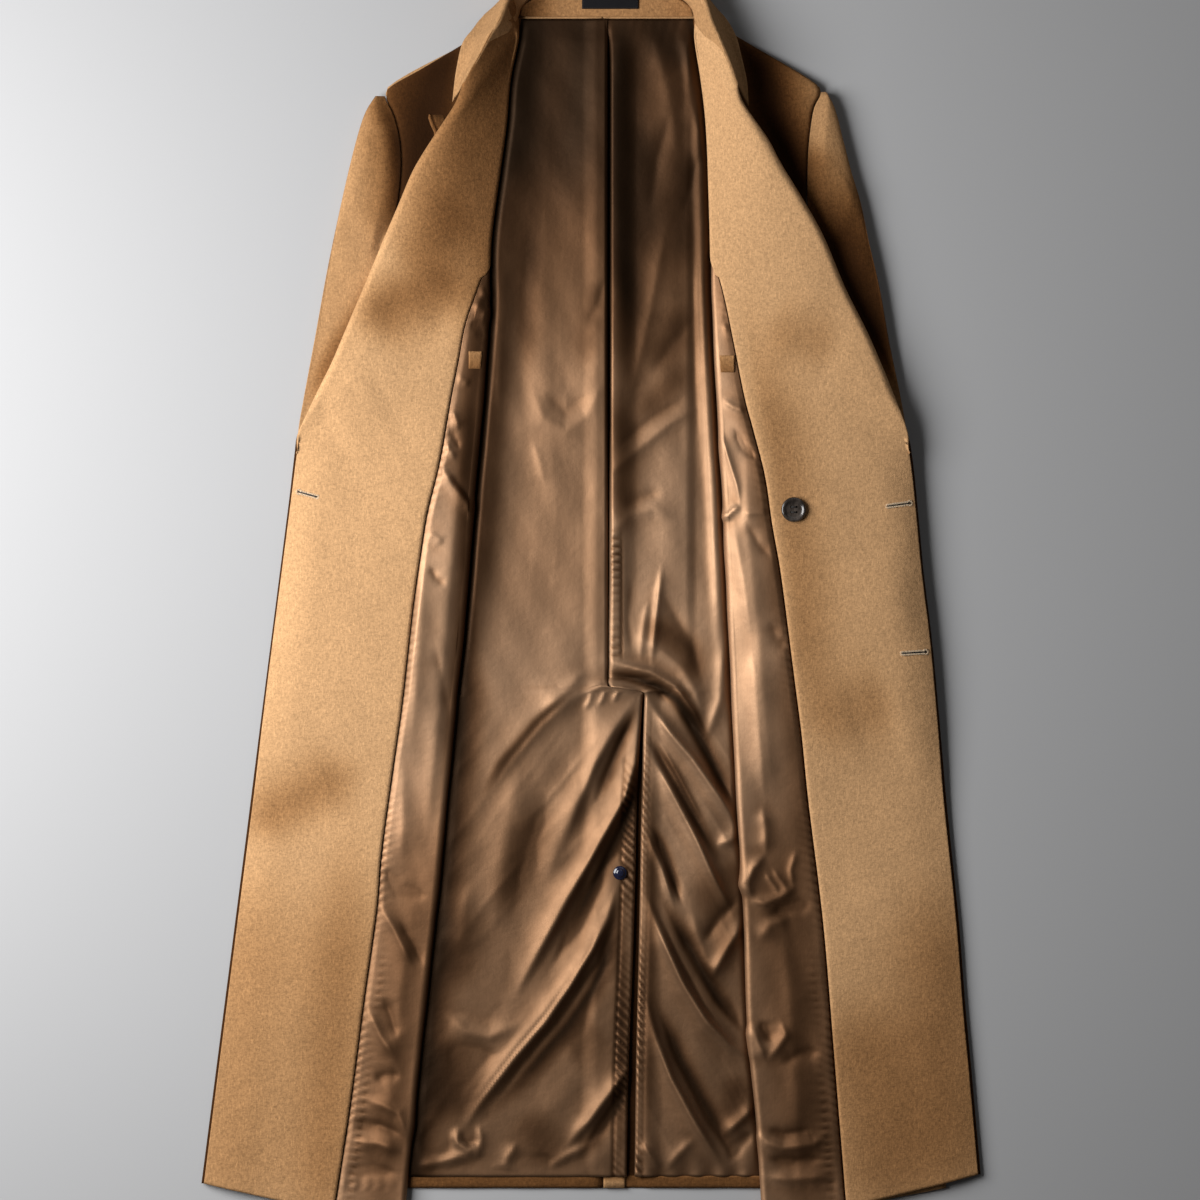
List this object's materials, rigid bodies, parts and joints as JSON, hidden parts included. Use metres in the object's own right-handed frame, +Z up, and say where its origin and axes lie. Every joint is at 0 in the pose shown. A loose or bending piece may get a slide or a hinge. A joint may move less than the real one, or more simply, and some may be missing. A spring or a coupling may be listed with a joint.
{
  "type": "wool overcoat",
  "caption": "Long camel wool overcoat with peak lapels, laid open on its back with both fronts folded out to show the satin lining, centre pleat and back vent.",
  "frame": {"origin": "middle of the coat's plan outline, on the surface it lies on", "axes": "+Y from hem to collar, +X to the viewer's right when the collar is at the top, +Z up from the surface"},
  "size_m": [0.7788, 1.276, 0.0458],
  "materials": {
    "wool": "napped wool melton, matt",
    "wool_facing": "napped wool melton, matt",
    "satin": "smooth satin lining with a soft sheen",
    "label": "woven black tape, bare",
    "horn": "polished dark horn look",
    "stud": "dark navy, polished"
  },
  "bodies": {
    "root": {"back_left": "wool", "back_right": "wool", "vent_facing": "wool", "front_left": "wool", "front_right": "wool", "facing_left": "wool_facing", "facing_right": "wool_facing", "lapel_left": "wool", "lapel_right": "wool", "sleeve_top_left": "wool", "sleeve_top_right": "wool", "sleeve_under_left": "wool", "sleeve_under_right": "wool", "collar": "wool", "neck_facing": "wool", "pocket_tab_left": "wool_facing", "pocket_tab_right": "wool_facing", "lining_back_left": "satin", "lining_back_right": "satin", "lining_front_left": "satin", "lining_front_right": "satin", "neck_label": "label", "button_inner": "horn", "button_outer_left_1": "horn", "button_outer_left_2": "horn", "button_outer_right_1": "horn", "button_outer_right_2": "horn", "vent_stud": "stud"}
  },
  "joints": []
}
